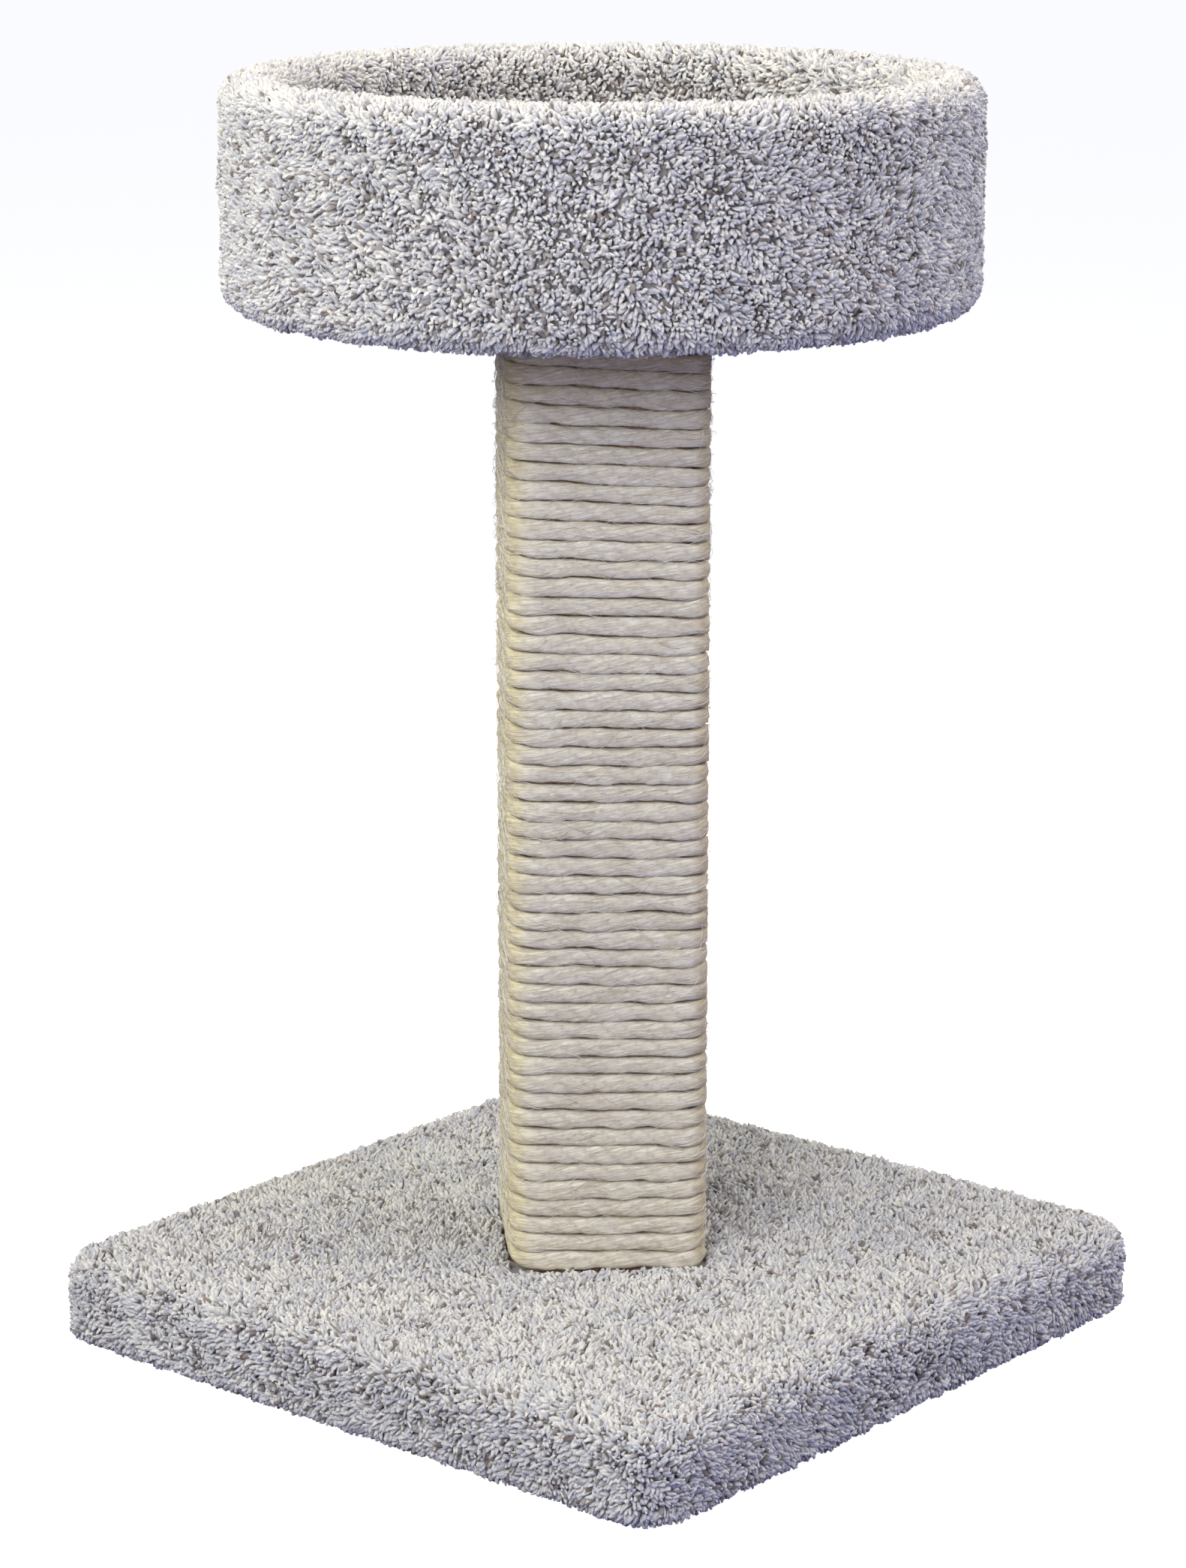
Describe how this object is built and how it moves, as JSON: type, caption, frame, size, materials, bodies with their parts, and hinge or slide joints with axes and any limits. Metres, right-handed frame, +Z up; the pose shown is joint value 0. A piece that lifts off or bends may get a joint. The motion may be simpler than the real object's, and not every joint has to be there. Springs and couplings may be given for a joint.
{
  "type": "cat scratching post",
  "caption": "Free-standing cat scratching post with a carpeted square base, a rope-wound square post and a round carpeted bed on top.",
  "frame": {"origin": "centre of the base's underside, on the floor", "axes": "+Z up; the base's sides lie along X and Y, and the post's sides are turned 45 degrees to them"},
  "size_m": [0.434, 0.434, 0.692],
  "materials": {
    "plywood": "matte",
    "timber": "matte",
    "carpet": "matte",
    "sisal": "matte",
    "fibre_tube": "matte",
    "steel": "satin"
  },
  "bodies": {
    "root": {"base_board_lower": "plywood", "base_board_upper": "plywood", "base_board_screws": "steel", "base_carpet": "carpet", "base_hem_staples": "steel", "post_core": "timber", "post_lag_screws": "steel", "post_lag_washers": "steel", "sisal_rope": "sisal", "rope_end_nails": "steel", "bowl_floor_board": "plywood", "bowl_wall_tube": "fibre_tube", "bowl_wall_staples": "steel", "bowl_wall_carpet": "carpet", "bowl_floor_carpet": "carpet", "bowl_hem_staples": "steel", "bowl_post_screws": "steel"}
  },
  "joints": []
}
